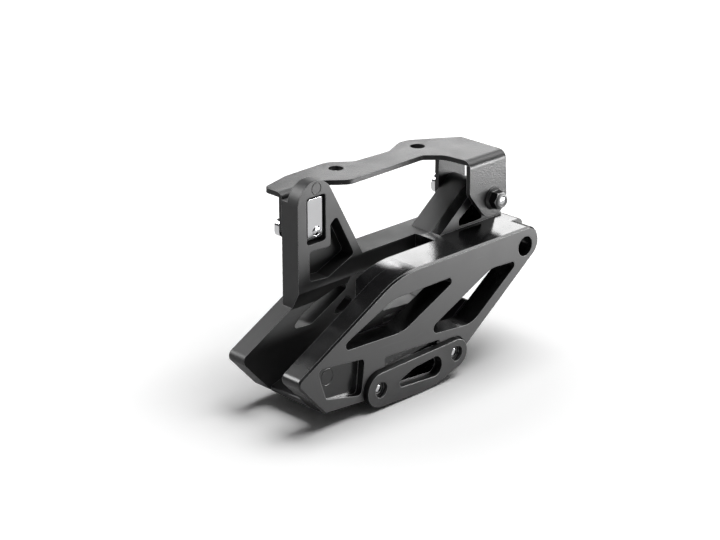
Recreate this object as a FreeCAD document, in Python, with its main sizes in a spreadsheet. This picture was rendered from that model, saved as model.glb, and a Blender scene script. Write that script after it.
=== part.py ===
import FreeCAD, Part
import math
import os
import Sketcher
from FreeCAD import Vector

# Chain guide of an off-road motorcycle: a moulded body whose two walls and roof
# form a channel for the chain, a wear block that closes the channel below, an
# oval link plate on the near wall and a folded steel bracket on two towers.
# Lengths are millimetres. X runs from the nose to the rear ear, Y from the near
# wall to the far wall, Z up. Drawing zero is the foremost point of the nose, on
# the outer face of the near wall, at the height of the wear block's underside.

LENGTHS = {
    # Walls, channel and roof, across the guide
    "near_wall": 14.0,
    "channel_width": 32.0,
    "far_wall": 14.0,
    "roof_top": 78.2,
    "roof_underside": 66.0,
    "roof_end": 200.0,
    "roof_end_round": 4.0,
    "side_fit": 0.3,
    "wall_edge_bevel": 1.1,
    # Side profile of both walls
    "nose_round": 4.0,
    "nose_height": 33.5,
    "slope_round": 60.0,
    "chin_round": 3.0,
    "keel_round": 25.0,
    "ear_round": 10.6,
    "wall_rear": 199.6,
    # Roof slot, seen from above
    "near_strip": 10.0,
    "far_ledge": 6.0,
    "slot_rear": 133.0,
    "strip_front": 57.0,
    "strip_front_run": 10.0,
    # Mount bore of the rear ear
    "ear_bore": 12.5,
    # Front tower
    "front_tower_deep": 13.5,
    "front_tower_round": 13.8,
    "front_tower_foot": 5.0,
    "front_tower_notch": 4.9,
    "front_tower_notch_top": 120.0,
    "front_rib_drop": 11.0,
    "front_rib_end": 79.0,
    "nut_seat_deep": 6.0,
    "nut_seat_round": 2.0,
    "front_core_deep": 10.0,
    "core_round": 2.2,
    # Rear tower
    "rear_tower_near": 27.0,
    "rear_tower_deep": 24.0,
    "rear_tower_round": 8.0,
    "rear_tower_foot": 4.0,
    "rear_boss_round": 9.0,
    "rear_boss_long": 7.0,
    "rear_core_deep": 18.0,
    "plinth_rise": 1.5,
    "plinth_deep": 26.0,
    # Windows and recesses of the walls
    "long_window_nose_round": 2.8,
    "long_window_rear_round": 2.0,
    "long_window_sill_round": 25.0,
    "long_window_slope_round": 40.0,
    "short_window_nose_round": 3.4,
    "short_window_sill_round": 18.0,
    "short_window_rear_round": 2.4,
    "short_window_head_round": 15.0,
    "chin_recess_tilt": 7.0,
    "chin_recess_round": 3.0,
    "plate_pocket_tilt": 5.0,
    "plate_pocket_round": 2.0,
    "far_window_round": 1.5,
    "far_window_slope_round": 6.0,
    # Link plate
    "link_plate_thick": 5.0,
    "link_plate_proud": 3.0,
    "link_plate_front_end": 10.6,
    "link_plate_rear_end": 8.8,
    "link_plate_belly_round": 70.0,
    "link_plate_gap": 1.2,
    "link_slot_end": 6.3,
    "link_slot_tip": 2.8,
    "link_slot_shoulder_round": 15.0,
    "link_slot_step": 1.2,
    "link_sink": 9.5,
    "link_sink_deep": 3.0,
    # Wear block
    "wear_round": 3.0,
    "wear_bend_round": 25.0,
    "wear_heel_round": 4.0,
    "wear_lip_round": 1.2,
    "wear_groove_wide": 14.0,
    "wear_groove_deep": 4.0,
    # Bracket
    "bracket_sheet": 3.0,
    "bracket_top": 123.7,
    "bracket_front_ear": 11.9,
    "bracket_rear_ear": 13.0,
    "bracket_round": 4.0,
    "bracket_waist_round": 8.0,
    "bracket_bend": 5.0,
    "bracket_hole": 9.0,
    "front_tab_wide": 26.0,
    "front_tab_end": 10.0,
    "rear_tab_end": 12.0,
    "far_tab_front": 164.0,
    # Screws, all of the same thread
    "thread": 6.0,
    "screw_hole": 6.6,
    "sleeve_outside": 9.0,
    "sleeve_fit": 0.2,
    "hex_flats": 10.0,
    "hex_high": 5.0,
    "flange_wide": 14.0,
    "flange_thick": 1.5,
    "screw_out": 2.5,
    "screw_bevel": 0.7,
    "washer_wide": 12.0,
    "washer_thick": 1.6,
    "nut_ring_high": 1.6,
    "nut_ring_wide": 8.6,
    "link_screw_end": 1.5,
    "lock_plate_thick": 4.0,
    "lock_plate_round": 4.0,
    "nut_plate_thick": 4.5,
    "nut_plate_round": 1.5,
}

POINTS = {
    # Corners of the side profile
    "chin": (19.9, 10.0),
    "keel_front": (70.0, 5.5),
    "keel_rear": (121.5, 5.5),
    "slope_foot": (-2.1, 34.05),
    "slope_head": (79.0, 78.2),
    # Axes of the ear bore and of the screws
    "ear_axis": (187.2, 66.3),
    "front_axis": (53.0, 100.5),
    "rear_axis": (176.0, 95.7),
    "link_front_axis": (61.3, 12.7),
    "link_rear_axis": (124.6, 15.9),
    # Long window of the near wall
    "long_window_nose": (26.3, 44.5),
    "long_window_sill": (82.0, 41.9),
    "long_window_rear": (122.5, 60.5),
    "long_window_head": (121.5, 64.5),
    "long_window_slope": (73.6, 64.5),
    # Short window of the near wall
    "short_window_nose": (97.6, 33.7),
    "short_window_sill": (140.7, 29.4),
    "short_window_rear": (182.5, 59.0),
    "short_window_head": (157.0, 60.4),
    # Recess on the chin, on its own tilted floor
    "chin_recess_nose": (13.6, 39.4),
    "chin_recess_low": (20.4, 19.0),
    "chin_recess_sill": (48.0, 12.6),
    "chin_recess_rear": (50.5, 34.7),
    # Pocket over the link plate
    "plate_pocket_nose": (66.8, 30.6),
    "plate_pocket_low": (66.2, 20.0),
    "plate_pocket_rear": (113.0, 20.0),
    "plate_pocket_head": (112.6, 27.6),
    # Openings of the far wall
    "rib_window_nose": (37.6, 42.8),
    "rib_window_sill": (52.5, 41.5),
    "rib_window_rear": (81.5, 56.3),
    "rib_window_head": (78.5, 60.8),
    "rib_window_slope_head": (70.5, 60.8),
    "rib_window_slope_foot": (44.5, 49.3),
    "mid_window_nose": (68.0, 42.3),
    "mid_window_sill": (78.5, 41.8),
    "mid_window_rear": (86.5, 47.4),
    "mid_window_head": (80.6, 51.4),
    "low_window_nose": (111.5, 24.3),
    "low_window_sill": (133.0, 24.3),
    "low_window_rear": (140.5, 28.5),
    "low_window_head": (111.5, 28.5),
    "rear_window_nose": (111.5, 32.4),
    "rear_window_sill": (146.0, 30.3),
    "rear_window_rear": (172.0, 50.0),
    "rear_window_rear_head": (165.0, 56.0),
    "rear_window_head": (130.0, 56.0),
    "rear_window_front_head": (111.5, 44.0),
    # Front tower
    "front_tower_top": (51.0, 117.5),
    "front_tower_heel": (89.6, 76.0),
    "nut_seat_low": (44.0, 93.8),
    "nut_seat_high": (58.9, 122.2),
    "nut_plate_low": (46.2, 96.5),
    "nut_plate_high": (57.5, 120.5),
    "front_core_nose": (45.9, 71.6),
    "front_core_sill": (60.4, 70.4),
    "front_core_heel": (81.6, 79.2),
    "front_core_tip": (67.4, 106.4),
    "front_core_neck": (62.3, 102.0),
    "front_core_inner": (62.7, 88.8),
    "front_core_head": (45.9, 89.8),
    # Rear tower
    "rear_tower_toe": (140.5, 78.2),
    "rear_tower_heel": (190.0, 78.2),
    "rear_cell_low": (156.6, 79.8),
    "rear_cell_side": (157.0, 84.2),
    "rear_cell_rear": (179.0, 79.8),
    "rear_cell_head": (168.6, 91.6),
    "plinth_front": (149.0, 78.2),
    "plinth_rear": (195.0, 79.7),
    # Outline of the link plate, apart from its round ends
    "link_plate_belly": (103.5, 0.1),
    "link_slot_rear": (105.5, 13.3),
    "link_slot_shoulder": (88.5, 18.2),
    "link_slot_front": (79.0, 11.9),
    # Side profile of the wear block
    "wear_lip_low": (20.0, 9.6),
    "wear_sole_front": (55.0, 0.0),
    "wear_sole_rear": (120.0, 0.0),
    "wear_tail_low": (157.3, 32.6),
    "wear_tail_high": (151.8, 38.2),
    "wear_top_rear": (130.0, 24.0),
    "wear_top_front": (58.0, 24.0),
    "wear_lip_high": (20.0, 12.6),
    # Bracket, seen from above
    "bracket_front_hole": (90.1, 64.1),
    "bracket_rear_hole": (154.0, 59.4),
    "bracket_side": (38.0, 68.6),
    "bracket_back": (59.5, 74.6),
    "bracket_front_knee": (69.8, 53.5),
    "bracket_front_step": (81.8, 43.6),
    "bracket_rear_step": (143.6, 45.2),
    "bracket_arm_knee": (153.0, 36.0),
    "bracket_arm_end": (154.8, 17.0),
    "bracket_rear_side": (186.4, 54.0),
    "bracket_saddle_rear": (135.0, 64.8),
    "bracket_saddle_front": (106.6, 65.8),
    "near_tab_knee": (155.2, 102.3),
    # Lock plates behind the towers
    "front_lock_low": (37.8, 95.7),
    "front_lock_high": (64.0, 106.2),
    "rear_lock_low": (164.8, 91.6),
    "rear_lock_high": (187.5, 102.8),
}

# How far a cut reaches beyond the piece on its open sides
CLEAR = 20.0


class Size:
    """A number together with the sheet formula that gives it."""

    def __init__(self, value, formula):
        self.value = float(value)
        self.formula = formula

    def __add__(self, other):
        other = as_size(other)
        return Size(self.value + other.value, f"({self.formula} + {other.formula})")

    def __sub__(self, other):
        other = as_size(other)
        return Size(self.value - other.value, f"({self.formula} - {other.formula})")

    def __mul__(self, other):
        other = as_size(other)
        return Size(self.value * other.value, f"({self.formula} * {other.formula})")

    def __truediv__(self, other):
        other = as_size(other)
        return Size(self.value / other.value, f"({self.formula} / {other.formula})")

    def __neg__(self):
        return Size(-self.value, f"(0 - {self.formula})")


def as_size(number):
    """A plain number read as a size, or the size itself."""
    if isinstance(number, Size):
        return number
    return Size(number, f"({float(number)})")


class Drawing:
    """The sheet of driving sizes, each one an attribute of the drawing."""

    def __init__(self, document):
        self.sheet = document.addObject("Spreadsheet::Sheet", "Sizes")
        self.row = 0
        for name, value in LENGTHS.items():
            setattr(self, name, self.cell(name, value))
        for name, (across, along) in POINTS.items():
            pair = (self.cell(name + "_x", across), self.cell(name + "_up", along))
            setattr(self, name, pair)

    def cell(self, name, value):
        """One row of the sheet: the size's name, its number and its alias."""
        self.row += 1
        self.sheet.set(f"A{self.row}", name)
        self.sheet.set(f"B{self.row}", str(value))
        self.sheet.setAlias(f"B{self.row}", name)
        return Size(value, f"Sizes.{name}")


doc = FreeCAD.newDocument("ChainGuide")
d = Drawing(doc)
doc.recompute()

# Places across the guide that several pieces share
far_inside = d.near_wall + d.channel_width
far_face = far_inside + d.far_wall
slot_near = d.near_wall + d.near_strip
slot_far = far_inside - d.far_ledge
front_tower_back = slot_far + d.front_tower_deep
rear_tower_back = d.rear_tower_near + d.rear_tower_deep
rear_boss_face = d.rear_tower_near - d.rear_boss_long
near_tab_face = rear_boss_face - d.bracket_sheet
front_lock_face = front_tower_back + d.bracket_sheet
rear_lock_face = rear_tower_back + d.bracket_sheet
nut_plate_back = slot_far + d.nut_seat_deep
nut_plate_face = nut_plate_back - d.nut_plate_thick
link_plate_back = d.link_plate_thick - d.link_plate_proud
slope_rate = (d.slope_head[1] - d.slope_foot[1]) / (d.slope_head[0] - d.slope_foot[0])
thread_round = d.thread / 2
screw_hole_round = d.screw_hole / 2
sleeve_round = d.sleeve_outside / 2
sleeve_hole_round = sleeve_round + d.sleeve_fit / 2


def slope_height(across):
    """Height of the sloping front edge at a distance from the nose."""
    return d.slope_head[1] + (across - d.slope_head[0]) * slope_rate


def slope_place(height):
    """Distance from the nose at which the sloping front edge has a height."""
    return d.slope_head[0] + (height - d.slope_head[1]) / slope_rate


class Corner:
    """A corner of an outline: sharp, or rounded by a tangent arc."""

    def __init__(self, place, radius=None):
        self.x = as_size(place[0])
        self.y = as_size(place[1])
        self.radius = radius
        self.pull = 0.0


class Arc:
    """A round end of an outline about its own centre, with the centre on the left of the way round."""

    def __init__(self, centre, radius):
        self.x = as_size(centre[0])
        self.y = as_size(centre[1])
        self.radius = radius
        self.pull = radius.value


def direction(heading):
    """Unit vector along a heading."""
    return Vector(math.cos(heading), math.sin(heading), 0)


def left_of(heading):
    """Unit vector to the left of a heading."""
    return Vector(-math.sin(heading), math.cos(heading), 0)


def headings_of(turns):
    """Heading of the straight run that follows each turn of an outline."""
    headings = []
    for here, after in zip(turns, turns[1:] + turns[:1]):
        across = after.x.value - here.x.value
        along = after.y.value - here.y.value
        sideways = (after.pull - here.pull) / math.hypot(across, along)
        headings.append(math.atan2(along, across) - math.asin(sideways))
    return headings


def bend_of(turn, before, after):
    """Start, end and centre of a turn between two headings."""
    place = Vector(turn.x.value, turn.y.value, 0)
    if isinstance(turn, Arc):
        return place - left_of(before) * turn.pull, place - left_of(after) * turn.pull, place
    if turn.radius is None:
        return place, place, place
    angle = math.remainder(after - before, 2 * math.pi)
    reach = turn.radius.value * math.tan(abs(angle) / 2)
    start = place - direction(before) * reach
    end = place + direction(after) * reach
    return start, end, start + left_of(before) * math.copysign(turn.radius.value, angle)


def bind(sketch, constraint, size):
    """Add one measured constraint and tie it to the sheet."""
    index = sketch.addConstraint(constraint)
    sketch.setExpression(f"Constraints[{index}]", size.formula)


def pin(sketch, geometry, end, place_x, place_y):
    """Tie one point of a sketch to two sizes."""
    bind(sketch, Sketcher.Constraint("DistanceX", -1, 1, geometry, end, place_x.value), place_x)
    bind(sketch, Sketcher.Constraint("DistanceY", -1, 1, geometry, end, place_y.value), place_y)


def draw_outline(sketch, turns):
    """Closed outline, counter-clockwise, with a straight run between each two turns."""
    headings = headings_of(turns)
    bends = [bend_of(turn, headings[i - 1], headings[i]) for i, turn in enumerate(turns)]
    runs = []
    for i, bend in enumerate(bends):
        following = bends[(i + 1) % len(bends)]
        runs.append(sketch.addGeometry(Part.LineSegment(bend[1], following[0]), False))
    for i, turn in enumerate(turns):
        start, end, centre = bends[i]
        run_in = runs[i - 1]
        run_out = runs[i]
        if turn.radius is None:
            sketch.addConstraint(Sketcher.Constraint("Coincident", run_in, 2, run_out, 1))
            pin(sketch, run_out, 1, turn.x, turn.y)
            continue
        turns_left = turn.pull > 0 or math.remainder(headings[i] - headings[i - 1], 2 * math.pi) > 0
        first, last = (start, end) if turns_left else (end, start)
        circle = Part.Circle(centre, Vector(0, 0, 1), turn.radius.value)
        first_angle = math.atan2(first.y - centre.y, first.x - centre.x)
        last_angle = math.atan2(last.y - centre.y, last.x - centre.x)
        arc = sketch.addGeometry(Part.ArcOfCircle(circle, first_angle, last_angle), False)
        arc_in, arc_out = (1, 2) if turns_left else (2, 1)
        sketch.addConstraint(Sketcher.Constraint("Tangent", run_in, 2, arc, arc_in))
        sketch.addConstraint(Sketcher.Constraint("Tangent", arc, arc_out, run_out, 1))
        bind(sketch, Sketcher.Constraint("Radius", arc, turn.radius.value), turn.radius)
        if isinstance(turn, Arc):
            pin(sketch, arc, 3, turn.x, turn.y)
            continue
        mark = sketch.addGeometry(Part.Point(Vector(turn.x.value, turn.y.value, 0)), True)
        pin(sketch, mark, 1, turn.x, turn.y)
        sketch.addConstraint(Sketcher.Constraint("PointOnObject", mark, 1, run_in))
        sketch.addConstraint(Sketcher.Constraint("PointOnObject", mark, 1, run_out))


def draw_circle(sketch, centre, radius):
    """A full circle tied to its centre and radius."""
    middle = Vector(centre[0].value, centre[1].value, 0)
    ring = sketch.addGeometry(Part.Circle(middle, Vector(0, 0, 1), radius.value), False)
    pin(sketch, ring, 3, as_size(centre[0]), as_size(centre[1]))
    bind(sketch, Sketcher.Constraint("Radius", ring, radius.value), radius)


def new_piece(label):
    """An empty sub-part."""
    body = doc.addObject("PartDesign::Body", label)
    body.Label = label
    return body


def new_sketch(body, name, role, height):
    """A sketch parallel to one of the piece's own planes."""
    plane = next(item for item in body.Origin.OriginFeatures if item.Role == role)
    sketch = body.newObject("Sketcher::SketchObject", name)
    sketch.AttachmentSupport = (plane, [""])
    sketch.MapMode = "FlatFace"
    sketch.setExpression("AttachmentOffset.Base.z", height.formula)
    return sketch


def finish(body, feature, grows):
    """Build the feature and make sure that it changed the piece the right way."""
    before = 0.0 if feature.BaseFeature is None else feature.BaseFeature.Shape.Volume
    doc.recompute()
    change = feature.Shape.Volume - before
    if grows != (change > 0) or abs(change) < 0.01:
        raise RuntimeError(f"{body.Label}: {feature.Name} changed the volume by {change:.3f}")
    return feature


def raise_pad(body, sketch, length, reverse):
    """Extrude a sketch into the piece."""
    pad = body.newObject("PartDesign::Pad", sketch.Name + "_pad")
    pad.Profile = sketch
    pad.setExpression("Length", as_size(length).formula)
    pad.Reversed = reverse
    return finish(body, pad, True)


def sink_pocket(body, sketch, length, reverse=False):
    """Cut a sketch out of the piece."""
    pocket = body.newObject("PartDesign::Pocket", sketch.Name + "_cut")
    pocket.Profile = sketch
    pocket.setExpression("Length", as_size(length).formula)
    pocket.Reversed = reverse
    return finish(body, pocket, False)


def side_pad(body, name, turns, near, far):
    """A prism across the guide, drawn in side view, from one place in Y to another."""
    sketch = new_sketch(body, name, "XZ_Plane", -as_size(near))
    draw_outline(sketch, turns)
    return raise_pad(body, sketch, as_size(far) - near, True)


def side_cut(body, name, turns, near, far):
    """A cut across the guide, drawn in side view."""
    sketch = new_sketch(body, name, "XZ_Plane", -as_size(near))
    draw_outline(sketch, turns)
    return sink_pocket(body, sketch, as_size(far) - near)


def plan_pad(body, name, turns, low, high):
    """An upright prism, drawn in plan."""
    sketch = new_sketch(body, name, "XY_Plane", as_size(low))
    draw_outline(sketch, turns)
    return raise_pad(body, sketch, as_size(high) - low, False)


def plan_cut(body, name, turns, high, low):
    """A cut from above, drawn in plan."""
    sketch = new_sketch(body, name, "XY_Plane", as_size(high))
    draw_outline(sketch, turns)
    return sink_pocket(body, sketch, as_size(high) - low)


def tilted_cut(body, name, turns, hinge, tilt):
    """A recess of the near wall whose floor leans inwards from an upright hinge line."""
    sketch = new_sketch(body, name, "XZ_Plane", as_size(0.0))
    sketch.AttachmentOffset = FreeCAD.Placement(Vector(0, 0, 0), FreeCAD.Rotation(Vector(0, 1, 0), tilt.value))
    sketch.setExpression("AttachmentOffset.Rotation.Angle", tilt.formula)
    sketch.setExpression("AttachmentOffset.Base.x", hinge.formula)
    moved = [Corner((turn.x - hinge, turn.y), turn.radius) for turn in turns]
    draw_outline(sketch, moved)
    return sink_pocket(body, sketch, as_size(CLEAR), True)


def rod(body, name, centre, radius, near, far):
    """A round pad along Y."""
    sketch = new_sketch(body, name, "XZ_Plane", -as_size(near))
    draw_circle(sketch, centre, radius)
    return raise_pad(body, sketch, as_size(far) - near, True)


def bore(body, name, centre, radius, near, far):
    """A round hole along Y."""
    sketch = new_sketch(body, name, "XZ_Plane", -as_size(near))
    draw_circle(sketch, centre, radius)
    return sink_pocket(body, sketch, as_size(far) - near)


def drill(body, name, centre, radius, high, low):
    """A round hole from above."""
    sketch = new_sketch(body, name, "XY_Plane", as_size(high))
    draw_circle(sketch, centre, radius)
    return sink_pocket(body, sketch, as_size(high) - low)


def edges_along(shape, test):
    """Names of the edges whose two ends and middle all pass a test."""
    names = []
    for number, edge in enumerate(shape.Edges, 1):
        middle = edge.valueAt((edge.FirstParameter + edge.LastParameter) / 2)
        if all(test(point) for point in [middle] + [vertex.Point for vertex in edge.Vertexes]):
            names.append(f"Edge{number}")
    return names


def bevel_edges(body, name, size, test):
    """Bevel every edge of the piece that passes a test."""
    base = body.Tip
    bevel = body.newObject("PartDesign::Chamfer", name)
    bevel.Base = (base, edges_along(base.Shape, test))
    bevel.setExpression("Size", size.formula)
    return finish(body, bevel, False)


def hexagon(centre, flats):
    """The six corners of a hexagon that stands on a flat."""
    corner = flats / math.sqrt(3)
    turns = []
    for step in range(6):
        angle = math.pi / 3 * step
        turns.append(Corner((centre[0] + corner * math.cos(angle), centre[1] + corner * math.sin(angle))))
    return turns


def box_turns(low, high, radius=None):
    """The four corners of an upright rectangle."""
    corners = [(low[0], low[1]), (high[0], low[1]), (high[0], high[1]), (low[0], high[1])]
    return [Corner(place, radius) for place in corners]


def wall_outline():
    """Side profile that both walls share."""
    return [
        Corner(d.chin, d.chin_round),
        Corner(d.keel_front, d.keel_round),
        Corner(d.keel_rear, d.keel_round),
        Arc((d.wall_rear - d.ear_round, d.roof_top - d.ear_round), d.ear_round),
        Corner(d.slope_head, d.slope_round),
        Arc((d.nose_round, d.nose_height), d.nose_round),
    ]


def link_plate_outline(gap):
    """Oval of the link plate, or of the seat that clears it by a gap."""
    return [
        Arc(d.link_front_axis, d.link_plate_front_end + gap),
        Corner((d.link_plate_belly[0], d.link_plate_belly[1] - gap), d.link_plate_belly_round),
        Arc(d.link_rear_axis, d.link_plate_rear_end + gap),
    ]


def link_slot_outline(step):
    """Tapered slot of the link plate, or the one behind it that is smaller by a step."""
    shoulder = (d.link_slot_shoulder[0], d.link_slot_shoulder[1] - step)
    return [
        Arc(d.link_slot_front, d.link_slot_tip - step),
        Arc(d.link_slot_rear, d.link_slot_end - step),
        Corner(shoulder, d.link_slot_shoulder_round),
    ]


def make_guide_body():
    """The moulded body: two walls, the slotted roof and the two towers in one piece."""
    body = new_piece("guide_body")
    side_pad(body, "near_wall_side", wall_outline(), 0.0, d.near_wall)
    bevel_edges(body, "near_wall_edge", d.wall_edge_bevel, lambda point: abs(point.y) < 1e-6)
    roof = [
        Corner((slope_place(d.roof_underside), d.roof_underside)),
        Corner((d.roof_end, d.roof_underside)),
        Corner((d.roof_end, d.roof_top), d.roof_end_round),
        Corner(d.slope_head, d.slope_round),
    ]
    side_pad(body, "roof_side", roof, d.near_wall, far_inside)
    side_pad(body, "far_wall_side", wall_outline(), far_inside, far_face)
    far_side = far_face.value
    bevel_edges(body, "far_wall_edge", d.wall_edge_bevel, lambda point: abs(point.y - far_side) < 1e-6)
    cut_roof_slot(body)
    add_front_tower(body)
    add_rear_tower(body)
    cut_near_wall(body)
    cut_far_wall(body)
    bore_walls(body)
    return body


def cut_roof_slot(body):
    """The slot in the roof, open to the front, with a slanting front edge on its near side."""
    strip_front_end = d.strip_front + d.strip_front_run
    slot = [
        Corner((-as_size(CLEAR), d.near_wall)),
        Corner((d.strip_front, d.near_wall)),
        Corner((strip_front_end, slot_near), d.core_round),
        Corner((d.slot_rear, slot_near)),
        Corner((d.slot_rear, slot_far)),
        Corner((-as_size(CLEAR), slot_far)),
    ]
    plan_cut(body, "roof_slot", slot, d.roof_top + CLEAR, 0.0)


def add_front_tower(body):
    """The tower on the far ledge, with its nut seat, its cored foot and the rib below it."""
    front = d.front_tower_top[0] - d.front_tower_round
    foot_height = d.roof_top - d.front_tower_foot
    over_slope = [
        Corner((front, slope_height(front) - d.front_tower_foot)),
        Corner((d.slope_head[0], foot_height)),
        Corner((d.front_tower_heel[0], foot_height)),
        Corner(d.front_tower_heel),
        Arc(d.front_tower_top, d.front_tower_round),
    ]
    side_pad(body, "front_tower", over_slope, far_inside, front_tower_back)
    over_slot = [
        Corner((front, d.roof_underside)),
        Corner((d.front_tower_heel[0], d.roof_underside)),
        Corner(d.front_tower_heel),
        Arc(d.front_tower_top, d.front_tower_round),
    ]
    side_pad(body, "front_tower_near", over_slot, slot_far, far_inside)
    rib = [
        Corner((slot_far, d.roof_underside)),
        Corner((far_inside, d.roof_underside - d.front_rib_drop)),
        Corner((far_inside, d.roof_underside)),
    ]
    rib_sketch = new_sketch(body, "front_rib", "YZ_Plane", front)
    draw_outline(rib_sketch, rib)
    raise_pad(body, rib_sketch, d.front_rib_end - front, False)
    notch_low = (front - CLEAR, d.front_tower_notch_top)
    notch_high = (d.front_tower_heel[0] + CLEAR, d.front_tower_notch_top + CLEAR)
    notch = box_turns(notch_low, notch_high)
    side_cut(body, "front_tower_notch", notch, front_tower_back - d.front_tower_notch, front_tower_back)
    seat = box_turns(d.nut_seat_low, d.nut_seat_high, d.nut_seat_round)
    side_cut(body, "nut_seat", seat, slot_far, slot_far + d.nut_seat_deep)
    core = [
        Corner(d.front_core_nose, d.core_round),
        Corner(d.front_core_sill, d.core_round),
        Corner(d.front_core_heel, d.core_round),
        Corner(d.front_core_tip, d.core_round),
        Corner(d.front_core_neck, d.core_round),
        Corner(d.front_core_inner, d.core_round),
        Corner(d.front_core_head, d.core_round),
    ]
    side_cut(body, "front_core", core, slot_far, slot_far + d.front_core_deep)


def add_rear_tower(body):
    """The cored tower on the roof, with its boss towards the near side and its plinth."""
    tower = [
        Corner((d.rear_tower_toe[0], d.rear_tower_toe[1] - d.rear_tower_foot)),
        Corner((d.rear_tower_heel[0], d.rear_tower_heel[1] - d.rear_tower_foot)),
        Corner(d.rear_tower_heel),
        Arc(d.rear_axis, d.rear_tower_round),
        Corner(d.rear_tower_toe),
    ]
    side_pad(body, "rear_tower", tower, d.rear_tower_near, rear_tower_back)
    plinth = box_turns(d.plinth_front, (d.plinth_rear[0], d.roof_top + d.plinth_rise))
    side_pad(body, "rear_plinth", plinth, d.rear_tower_near, d.rear_tower_near + d.plinth_deep)
    rod(body, "rear_boss", d.rear_axis, d.rear_boss_round, rear_boss_face, d.rear_tower_near)
    cell = [
        Corner(d.rear_cell_low, d.far_window_round),
        Corner(d.rear_cell_rear, d.far_window_round),
        Corner(d.rear_cell_head, d.far_window_round),
        Corner(d.rear_cell_side, d.far_window_round),
    ]
    side_cut(body, "rear_cell", cell, d.rear_tower_near, d.rear_tower_near + d.rear_core_deep)


def cut_near_wall(body):
    """Windows and recesses of the near wall."""
    long_window = [
        Corner(d.long_window_nose, d.long_window_nose_round),
        Corner(d.long_window_sill, d.long_window_sill_round),
        Corner(d.long_window_rear, d.long_window_rear_round),
        Corner(d.long_window_head, d.long_window_rear_round),
        Corner(d.long_window_slope, d.long_window_slope_round),
    ]
    side_cut(body, "long_window", long_window, 0.0, d.near_wall)
    short_window = [
        Corner(d.short_window_nose, d.short_window_nose_round),
        Corner(d.short_window_sill, d.short_window_sill_round),
        Corner(d.short_window_rear, d.short_window_rear_round),
        Corner(d.short_window_head, d.short_window_head_round),
    ]
    side_cut(body, "short_window", short_window, 0.0, d.near_wall)
    chin_recess = [
        Corner(d.chin_recess_nose, d.chin_recess_round),
        Corner(d.chin_recess_low, d.chin_recess_round),
        Corner(d.chin_recess_sill, d.chin_recess_round),
        Corner(d.chin_recess_rear, d.chin_recess_round),
    ]
    tilted_cut(body, "chin_recess", chin_recess, d.chin_recess_nose[0], d.chin_recess_tilt)
    plate_pocket = [
        Corner(d.plate_pocket_nose, d.plate_pocket_round),
        Corner(d.plate_pocket_low),
        Corner(d.plate_pocket_rear),
        Corner(d.plate_pocket_head, d.plate_pocket_round),
    ]
    tilted_cut(body, "plate_pocket", plate_pocket, d.plate_pocket_nose[0], d.plate_pocket_tilt)
    side_cut(body, "link_plate_seat", link_plate_outline(d.link_plate_gap), 0.0, link_plate_back)
    side_cut(body, "link_slot_behind", link_slot_outline(d.link_slot_step), link_plate_back, d.near_wall)


def cut_far_wall(body):
    """Openings of the far wall."""
    rib_window = [
        Corner(d.rib_window_nose, d.far_window_round),
        Corner(d.rib_window_sill, d.far_window_slope_round),
        Corner(d.rib_window_rear, d.far_window_round),
        Corner(d.rib_window_head, d.far_window_round),
        Corner(d.rib_window_slope_head, d.far_window_slope_round),
        Corner(d.rib_window_slope_foot, d.far_window_slope_round),
    ]
    side_cut(body, "rib_window", rib_window, slot_far, far_face)
    mid_window = (d.mid_window_nose, d.mid_window_sill, d.mid_window_rear, d.mid_window_head)
    low_window = (d.low_window_nose, d.low_window_sill, d.low_window_rear, d.low_window_head)
    rear_window = (
        d.rear_window_nose,
        d.rear_window_sill,
        d.rear_window_rear,
        d.rear_window_rear_head,
        d.rear_window_head,
        d.rear_window_front_head,
    )
    for name, places in (("mid_window", mid_window), ("low_window", low_window), ("rear_window", rear_window)):
        turns = [Corner(place, d.far_window_round) for place in places]
        side_cut(body, name, turns, far_inside, far_face)


def bore_walls(body):
    """Bore of the rear ear and the holes of the screws."""
    bore(body, "ear_bore", d.ear_axis, d.ear_bore / 2, 0.0, d.near_wall)
    for name, axis in (("link_front", d.link_front_axis), ("link_rear", d.link_rear_axis)):
        bore(body, name + "_near_hole", axis, screw_hole_round, link_plate_back, d.near_wall)
        bore(body, name + "_far_hole", axis, screw_hole_round, far_inside, far_face)
    bore(body, "front_screw_hole", d.front_axis, sleeve_hole_round, nut_plate_back, front_tower_back)
    bore(body, "rear_screw_hole", d.rear_axis, sleeve_hole_round, rear_boss_face, rear_tower_back)


def make_wear_block():
    """The replaceable block that closes the channel below, with the chain's groove on top."""
    body = new_piece("wear_block")
    near = d.near_wall + d.side_fit
    far = far_inside - d.side_fit
    profile = [
        Corner(d.wear_lip_low, d.wear_lip_round),
        Corner(d.wear_sole_front, d.wear_bend_round),
        Corner(d.wear_sole_rear, d.wear_heel_round),
        Corner(d.wear_tail_low, d.wear_round),
        Corner(d.wear_tail_high, d.wear_round),
        Corner(d.wear_top_rear, d.wear_bend_round),
        Corner(d.wear_top_front, d.wear_bend_round),
        Corner(d.wear_lip_high, d.wear_lip_round),
    ]
    side_pad(body, "wear_side", profile, near, far)
    middle = (near + far) / 2
    ramp_rate = (d.wear_tail_high[1] - d.wear_top_rear[1]) / (d.wear_tail_high[0] - d.wear_top_rear[0])
    ramp_end = d.wear_tail_high[0] + CLEAR
    groove_low = d.wear_top_front[1] - d.wear_groove_deep
    groove_end = groove_low + (ramp_end - d.wear_top_rear[0]) * ramp_rate
    groove = [
        Corner((-as_size(CLEAR), groove_low)),
        Corner((d.wear_top_rear[0], groove_low), d.wear_bend_round),
        Corner((ramp_end, groove_end)),
        Corner((ramp_end, groove_end + CLEAR)),
        Corner((-as_size(CLEAR), groove_low + CLEAR)),
    ]
    side_cut(body, "wear_groove", groove, middle - d.wear_groove_wide / 2, middle + d.wear_groove_wide / 2)
    for name, axis in (("front", d.link_front_axis), ("rear", d.link_rear_axis)):
        bore(body, name + "_sleeve_hole", axis, sleeve_hole_round, near, far)
    return body


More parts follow.
